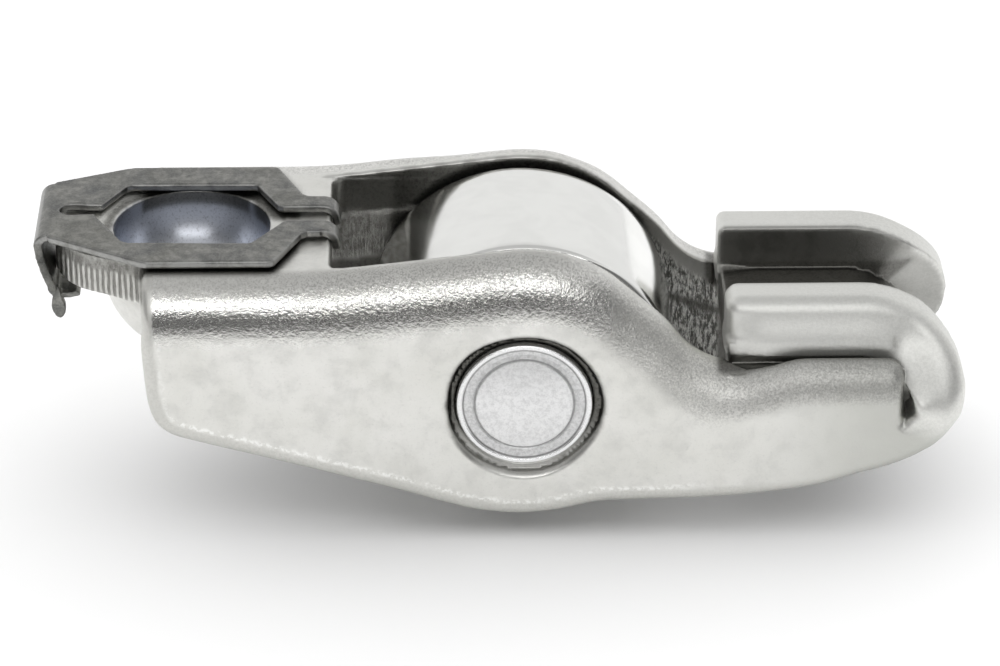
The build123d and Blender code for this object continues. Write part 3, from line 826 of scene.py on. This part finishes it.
# rings left by the staking punch: (radius, depth below the rim)
FACE = [(0, 0.05), (2.76, 0.05), (2.83, 0.08), (2.89, 0.16), (2.96, 0.17), (3.04, 0.12), (3.12, 0.12), (3.22, 0.16), (3.40, 0.15), (3.50, 0.13),
        (3.57, 0.13), (3.63, 0.04), (3.70, 0.0), (3.86, 0.0), (3.93, 0.04), (3.98, 0.12), (4.0, 0.24)]
prof = [(a, -7.95 + d) for a, d in FACE] + [(4.0, -5.5), (3.99, -5.4), (3.99, 5.4), (4.0, 5.5)] + [(a, 7.95 - d) for a, d in FACE[::-1]]
V, F = turned("axle_looks", prof, 160)
axle = mesh_from("axle_looks", V, F)
axle.data.materials.append(axle_steel())
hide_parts("roller_axle")
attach(axle, "arm")

R, HWR, RB = 9.0, 5.15, 5.94
prof = [(RB + 0.30, -HWR), (RB + 0.02, -HWR + 0.28), (RB, -HWR + 0.34)] + [(RB, t) for t in np.linspace(-4.0, 4.0, 5)] + \
       [(RB, HWR - 0.34), (RB + 0.02, HWR - 0.28), (RB + 0.30, HWR), (R - 0.34, HWR)]
prof += arc(R - 0.34 + 0.01, HWR - 0.30, 0.30, 88, 12, 6)
prof += [(R - 0.012, 4.2), (R, 2.5), (R, 0.0), (R, -2.5), (R - 0.012, -4.2)]
prof += [(a, -b) for a, b in arc(R - 0.34 + 0.01, HWR - 0.30, 0.30, 12, 88, 6)]
prof += [(R - 0.34, -HWR)]
V, Q = lathe("roller_looks", prof, 240)
roller = mesh_from("roller_looks", V, Q)
roller.data.materials.append(ground_steel())
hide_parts("cam_roller")
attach(roller, "roller")

nm = needle_steel()
for name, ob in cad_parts.items():
    if name.startswith("needle"):
        for s in ob.material_slots:
            s.material = nm
        if not ob.material_slots:
            ob.data.materials.append(nm)

# ------------------------------------------------------------------ floor, light, camera
fz = float(home((0, 0, -9.0))[2]) - 0.00002
me = bpy.data.meshes.new("floor")
s = 2.0
me.from_pydata([(-s, -s, fz), (s, -s, fz), (s, s, fz), (-s, s, fz)], [], [(0, 1, 2, 3)])
floor = bpy.data.objects.new("floor", me)
bpy.context.scene.collection.objects.link(floor)
fn = Nodes("floor")
fn.finish((0.90, 0.90, 0.90), 0.75, 0.0)
floor.data.materials.append(fn.mat)


def area(name, loc, look, sx, sy, power, col=(1, 1, 1)):
    li = bpy.data.lights.new(name, "AREA")
    li.shape = "RECTANGLE"
    li.size, li.size_y = sx, sy
    li.energy = power
    li.color = col
    ob = bpy.data.objects.new(name, li)
    ob.location = loc
    d = Vector(look) - Vector(loc)
    ob.rotation_euler = d.to_track_quat("-Z", "Y").to_euler()
    bpy.context.scene.collection.objects.link(ob)
    return ob


C = Vector((0.018, 0.0, -0.005))


def at(az, el, d):
    a, e = math.radians(az), math.radians(el)
    return C + Vector((math.sin(a) * math.cos(e), -math.cos(a) * math.cos(e), math.sin(e))) * d


# azimuth 0 is the camera's side
area("key", at(0, 25, 0.62), C, 0.56, 0.090, 0.68)
# a black cloth on the table in front, seen only in the metal
me = bpy.data.meshes.new("cloth")
me.from_pydata([(-0.7, -0.7, fz + 0.0004), (0.7, -0.7, fz + 0.0004), (0.7, -0.070, fz + 0.0004), (-0.7, -0.070, fz + 0.0004)], [], [(0, 1, 2, 3)])
cloth = bpy.data.objects.new("cloth", me)
bpy.context.scene.collection.objects.link(cloth)
cn = Nodes("cloth")
cn.finish((0.03, 0.03, 0.03), 0.9, 0.0)
cloth.data.materials.append(cn.mat)
cloth.visible_camera = cloth.visible_diffuse = cloth.visible_shadow = False
fill = area("fill", at(180, 80, 0.60), C, 1.4, 1.4, 5.6)
fill.visible_glossy = False

# pale studio walls behind and above, a dark room on the camera's side
w = bpy.data.worlds.new("world")
bpy.context.scene.world = w
w.use_nodes = True
wt = w.node_tree
bg = wt.nodes["Background"]
wn = Nodes.__new__(Nodes)
wn.t = wt
tc = wt.nodes.new("ShaderNodeTexCoord")
wx, wy, wz = wn.xyz(tc.outputs["Generated"])
front = wn.math("MULTIPLY", wn.band(wy, 0.10, -0.45), wn.band(wz, 0.62, 0.50))
side = wn.band(wn.math("ABSOLUTE", wx), 0.75, 1.0)
lum = wn.lerp(wn.band(wz, 0.60, 0.85), 0.90, 0.58)
lum = wn.lerp(side, lum, 0.60)
lum = wn.lerp(front, lum, 0.17)
bg.inputs[0].default_value = (1, 1, 1, 1)
wn.put(bg.inputs[1], lum)

cam = bpy.data.cameras.new("camera")
cam.sensor_fit = "HORIZONTAL"
cam.sensor_width = 36.0
cam.lens = 160.2
cam.clip_start, cam.clip_end = 0.01, 10.0
co = bpy.data.objects.new("camera", cam)
bpy.context.scene.collection.objects.link(co)
look = home((-1.30, 0.0, 0.415))
back = np.array((-0.013738, -0.874512, 0.484810))
back /= np.linalg.norm(back)
co.location = look + back * 0.266
right = np.cross((0, 0, 1), back)
right /= np.linalg.norm(right)
up = np.cross(back, right)
co.rotation_euler = Matrix((right, up, back)).transposed().to_euler()
bpy.context.scene.camera = co
bpy.context.scene.view_settings.view_transform = "Standard"
print("view", bpy.context.scene.view_settings.view_transform, bpy.context.scene.view_settings.look)
